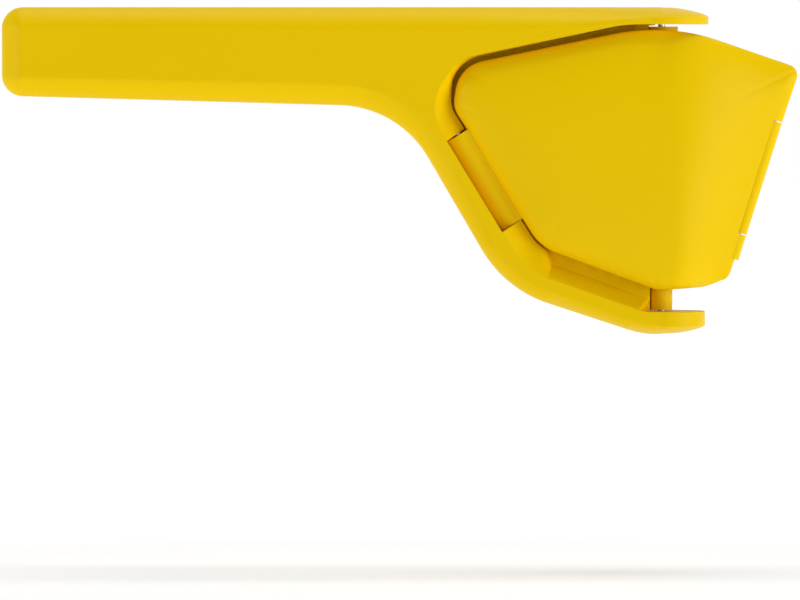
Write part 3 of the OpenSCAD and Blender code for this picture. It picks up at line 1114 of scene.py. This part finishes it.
class SQUEEZER_OT_plates(bpy.types.Operator):
    """Models the two press plates"""

    bl_idname = "squeezer.plates"
    bl_label = "Press plates"

    def execute(self, context):
        sizes = context.scene.squeezer_sizes
        front = make_front_plate(sizes)
        set_down(front, "front_plate", "front_press_plate", "front_plate", "plate_plastic")
        rear = make_rear_plate(sizes)
        set_down(rear, "rear_plate", "rear_press_plate", "rear_plate", "plate_plastic")
        return {"FINISHED"}


class SQUEEZER_OT_pins(bpy.types.Operator):
    """Gives the hinge pins their drawn steel finish"""

    bl_idname = "squeezer.pins"
    bl_label = "Hinge pins"

    def execute(self, context):
        steel = drawn_steel(context.scene.squeezer_finish.steel)
        for name, node in frame["nodes"].items():
            if name.endswith("_pin"):
                node.data.materials.clear()
                node.data.materials.append(steel)
        return {"FINISHED"}


# ---------------------------------------------------------------- stage


def area_lamp(name, place, width, height, watts):
    """A soft box that shines on the squeezer."""
    bpy.ops.object.select_all(action="DESELECT")
    bpy.ops.object.light_add(type="AREA", location=place)
    lamp = bpy.context.object
    lamp.name = name
    lamp.data.shape = "RECTANGLE"
    lamp.data.size = width
    lamp.data.size_y = height
    lamp.data.energy = watts
    aim = Vector(LAMP_AIM) - Vector(place)
    lamp.rotation_euler = aim.to_track_quat("-Z", "Y").to_euler()


def seen_rays(nodes, links):
    """A value that is 1 for rays that show the background: those of the camera, and those seen in
    reflections or through something clear."""
    rays = nodes.new("ShaderNodeLightPath")
    seen = rays.outputs["Is Camera Ray"]
    for kind in ("Is Glossy Ray", "Is Transmission Ray"):
        either = nodes.new("ShaderNodeMath")
        either.operation = "MAXIMUM"
        links.new(seen, either.inputs[0])
        links.new(rays.outputs[kind], either.inputs[1])
        seen = either.outputs["Value"]
    return seen


def white_backdrop(name):
    """White to the camera and in reflections, a little less under the squeezer, where its shadow
    falls. For all other rays the floor still glows at a share of that, so it is painted light: a
    glowing sheet that lights the squeezer from below though it is no lamp."""
    material = bpy.data.materials.new(name)
    material.use_nodes = True
    nodes, links = material.node_tree.nodes, material.node_tree.links
    shader = nodes["Principled BSDF"]
    shader.inputs["Base Color"].default_value = (0.8, 0.8, 0.8, 1.0)
    shader.inputs["Roughness"].default_value = 1.0
    shader.inputs["Specular IOR Level"].default_value = 0.0
    shader.inputs["Emission Color"].default_value = (1.0, 1.0, 1.0, 1.0)
    place = nodes.new("ShaderNodeTexCoord")
    distance = nodes.new("ShaderNodeVectorMath")
    distance.operation = "LENGTH"
    links.new(place.outputs["Object"], distance.inputs[0])
    glow = nodes.new("ShaderNodeMapRange")
    glow.interpolation_type = "SMOOTHSTEP"
    glow.inputs["From Min"].default_value = NEAR_REACH
    glow.inputs["From Max"].default_value = FAR_REACH
    glow.inputs["To Min"].default_value = NEAR_GLOW
    glow.inputs["To Max"].default_value = 1.0
    links.new(distance.outputs["Value"], glow.inputs["Value"])
    # Painted light: for rays other than the camera's and reflections, the floor glows at
    # FLOOR_LIGHT times its glow and lights the squeezer's undersides from below
    share = nodes.new("ShaderNodeMapRange")
    share.inputs["To Min"].default_value = FLOOR_LIGHT
    links.new(seen_rays(nodes, links), share.inputs["Value"])
    strength = nodes.new("ShaderNodeMath")
    strength.operation = "MULTIPLY"
    links.new(share.outputs["Result"], strength.inputs[0])
    links.new(glow.outputs["Result"], strength.inputs[1])
    links.new(strength.outputs["Value"], shader.inputs["Emission Strength"])
    return material


class SQUEEZER_OT_stage(bpy.types.Operator):
    """Sets up the floor, light and camera"""

    bl_idname = "squeezer.stage"
    bl_label = "Studio"

    def execute(self, context):
        stage = context.scene.squeezer_stage
        scene = context.scene
        world = bpy.data.worlds.new("studio")
        scene.world = world
        world.use_nodes = True
        nodes, links = world.node_tree.nodes, world.node_tree.links
        background = nodes["Background"]
        background.inputs["Color"].default_value = (1, 1, 1, 1)
        glow = nodes.new("ShaderNodeMapRange")
        glow.inputs["To Min"].default_value = WORLD_LIGHT
        glow.inputs["To Max"].default_value = 1.0
        links.new(seen_rays(nodes, links), glow.inputs["Value"])
        links.new(glow.outputs["Result"], background.inputs["Strength"])
        bpy.ops.object.select_all(action="DESELECT")
        bpy.ops.mesh.primitive_plane_add(size=FLOOR_SIZE, location=(0, 0, -stage.floor_drop))
        floor = context.object
        floor.name = "floor"
        floor.data.materials.append(white_backdrop("floor_white"))
        for lamp in LAMPS:
            area_lamp(*lamp)
        bpy.ops.object.camera_add()
        camera = context.object
        camera.name = "camera"
        place = Vector((0, -stage.distance, stage.eye_level))
        aim = Vector((0, 0, stage.aim_level))
        camera.location = place
        camera.rotation_euler = (aim - place).to_track_quat("-Z", "Y").to_euler()
        camera.data.sensor_width = SENSOR_MM
        camera.data.lens = SENSOR_MM * (aim - place).length / stage.field
        camera.data.clip_end = 20
        scene.camera = camera
        scene.view_settings.view_transform = "Standard"
        return {"FINISHED"}


class SQUEEZER_PT_panel(bpy.types.Panel):
    bl_idname = "SQUEEZER_PT_panel"
    bl_label = "Folding citrus squeezer"
    bl_space_type = "VIEW_3D"
    bl_region_type = "UI"
    bl_category = "Squeezer"

    def draw(self, context):
        layout = self.layout
        for group in (
            context.scene.squeezer_sizes,
            context.scene.squeezer_finish,
            context.scene.squeezer_stage,
        ):
            for name in group.__annotations__:
                layout.prop(group, name)
        for operator in OPERATORS:
            layout.operator(operator.bl_idname)


OPERATORS = (SQUEEZER_OT_handles, SQUEEZER_OT_plates, SQUEEZER_OT_pins, SQUEEZER_OT_stage)
CLASSES = (SqueezerSizes, SqueezerFinish, SqueezerStage, *OPERATORS, SQUEEZER_PT_panel)


def register():
    for cls in CLASSES:
        bpy.utils.register_class(cls)
    bpy.types.Scene.squeezer_sizes = PointerProperty(type=SqueezerSizes)
    bpy.types.Scene.squeezer_finish = PointerProperty(type=SqueezerFinish)
    bpy.types.Scene.squeezer_stage = PointerProperty(type=SqueezerStage)


def unregister():
    del bpy.types.Scene.squeezer_stage
    del bpy.types.Scene.squeezer_finish
    del bpy.types.Scene.squeezer_sizes
    for cls in reversed(CLASSES):
        bpy.utils.unregister_class(cls)


def main():
    register()
    bpy.ops.squeezer.handles()
    bpy.ops.squeezer.plates()
    bpy.ops.squeezer.pins()
    bpy.ops.squeezer.stage()


if __name__ == "__main__":
    main()
